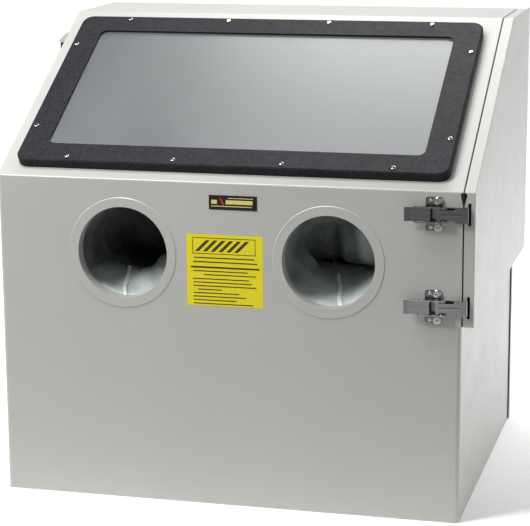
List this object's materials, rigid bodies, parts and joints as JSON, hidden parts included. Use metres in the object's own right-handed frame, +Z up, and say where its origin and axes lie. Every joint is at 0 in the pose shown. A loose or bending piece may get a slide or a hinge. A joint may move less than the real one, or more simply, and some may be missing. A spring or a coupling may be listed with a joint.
{
  "type": "sandblast cabinet",
  "caption": "Bench-top abrasive blasting cabinet: steel box with sloping framed window, gloved arm ports, latched side door, grate and media hopper.",
  "frame": {"origin": "centre of the flat base, on the surface the cabinet stands on", "axes": "+X to the operator's right (door side), +Y from the front to the rear, +Z up"},
  "size_m": [0.7218, 0.5575, 0.66],
  "materials": {
    "cabinet_paint": "semi-gloss light grey baked enamel",
    "frame_black": "matt charcoal moulding with a fine grain",
    "window_glass": "clear polished",
    "seal_rubber": "matt black",
    "latch_steel": "nickel-plated spring steel, lightly brushed",
    "chrome": "polished",
    "zinc_steel": "zinc-plated",
    "glove_cloth": "napped cotton lining",
    "gun_alloy": "cast, satin",
    "nozzle_ceramic": "unglazed off-white",
    "filter_foam": "open-cell black foam",
    "black_plastic": "moulded, fine grain",
    "brass": "machined",
    "lamp_glass": "white, coated inside",
    "lens_plastic": "clear acrylic",
    "plate_black": "printed plate, gloss black with a coloured edge",
    "label_yellow": "printed vinyl"
  },
  "bodies": {
    "cabinet": {"air_inlet": "brass", "arm_collar_left": "zinc_steel", "arm_collar_right": "zinc_steel", "back_panel": "cabinet_paint", "back_panel_screws": "zinc_steel", "back_seal_left": "seal_rubber", "back_seal_right": "seal_rubber", "door_gasket": "seal_rubber", "exhaust_baffle": "cabinet_paint", "exhaust_collar": "black_plastic", "floor_pan": "cabinet_paint", "front_wrap": "cabinet_paint", "glove_clamp_left": "zinc_steel", "glove_clamp_right": "zinc_steel", "glove_left": "glove_cloth", "glove_right": "glove_cloth", "grate_ledge_front": "cabinet_paint", "grate_ledge_rear": "cabinet_paint", "gun_holder": "zinc_steel", "hinge_leaf_body": "zinc_steel", "hinge_pin": "zinc_steel", "hopper_legs": "cabinet_paint", "intake_filter": "filter_foam", "intake_hood": "cabinet_paint", "lamp_cable_gland": "black_plastic", "lamp_housing": "cabinet_paint", "lamp_lens": "lens_plastic", "lamp_tube": "lamp_glass", "latch_base_lower": "latch_steel", "latch_base_upper": "latch_steel", "latch_pivots": "chrome", "latch_rivets": "chrome", "latch_screws": "chrome", "left_side_panel": "cabinet_paint", "media_hopper": "cabinet_paint", "name_plate": "plate_black", "pickup_tube": "zinc_steel", "right_side_panel": "cabinet_paint", "safety_label": "label_yellow", "window_frame": "frame_black", "window_gasket": "seal_rubber", "window_glass": "window_glass", "window_screws": "chrome"},
    "door": {"door_panel": "cabinet_paint", "door_rear_channel": "cabinet_paint", "hinge_leaf_door": "zinc_steel"},
    "lever_upper": {"latch_lever_upper": "latch_steel", "draw_pin_upper": "chrome"},
    "draw_upper": {"draw_plate_upper": "latch_steel"},
    "lever_lower": {"latch_lever_lower": "latch_steel", "draw_pin_lower": "chrome"},
    "draw_lower": {"draw_plate_lower": "latch_steel"},
    "gun": {"gun_body": "gun_alloy", "gun_nozzle": "nozzle_ceramic", "gun_trigger_pin": "zinc_steel"},
    "trigger": {"gun_trigger": "zinc_steel"},
    "grate": {"work_grate": "zinc_steel"}
  },
  "joints": [
    {"name": "door_hinge", "type": "hinge", "parent": "cabinet", "child": "door", "pos_m": [0.3418, 0.2632, 0.4712], "axis": [0, 0, 1], "range_deg": [0, 95]},
    {"name": "lever_upper_pivot", "type": "hinge", "parent": "cabinet", "child": "lever_upper", "pos_m": [0.3058, -0.269, 0.432], "axis": [0, 0, 1], "range_deg": [0, 120]},
    {"name": "draw_upper_pivot", "type": "hinge", "parent": "lever_upper", "child": "draw_upper", "pos_m": [0.298, -0.2675, 0.432], "axis": [0, 0, -1], "range_deg": [0, 132]},
    {"name": "lever_lower_pivot", "type": "hinge", "parent": "cabinet", "child": "lever_lower", "pos_m": [0.3058, -0.269, 0.305], "axis": [0, 0, 1], "range_deg": [0, 120]},
    {"name": "draw_lower_pivot", "type": "hinge", "parent": "lever_lower", "child": "draw_lower", "pos_m": [0.298, -0.2675, 0.305], "axis": [0, 0, -1], "range_deg": [0, 132]},
    {"name": "gun_lift", "type": "slide", "parent": "cabinet", "child": "gun", "axis": [0, 0, 1], "range_m": [0, 0.025]},
    {"name": "trigger_pivot", "type": "hinge", "parent": "gun", "child": "trigger", "pos_m": [0.008, 0.206, 0.436], "axis": [0, 1, 0], "range_deg": [0, 11], "stiffness_Nm_per_rad": 0.6, "springref_deg": -11.46},
    {"name": "grate_lift", "type": "slide", "parent": "cabinet", "child": "grate", "axis": [0, 0, 1], "range_m": [0, 0.045]}
  ],
  "couplings": [
    {"joint": "draw_upper_pivot", "follows": "lever_upper_pivot", "ratio": 1.1},
    {"joint": "draw_lower_pivot", "follows": "lever_lower_pivot", "ratio": 1.1}
  ]
}
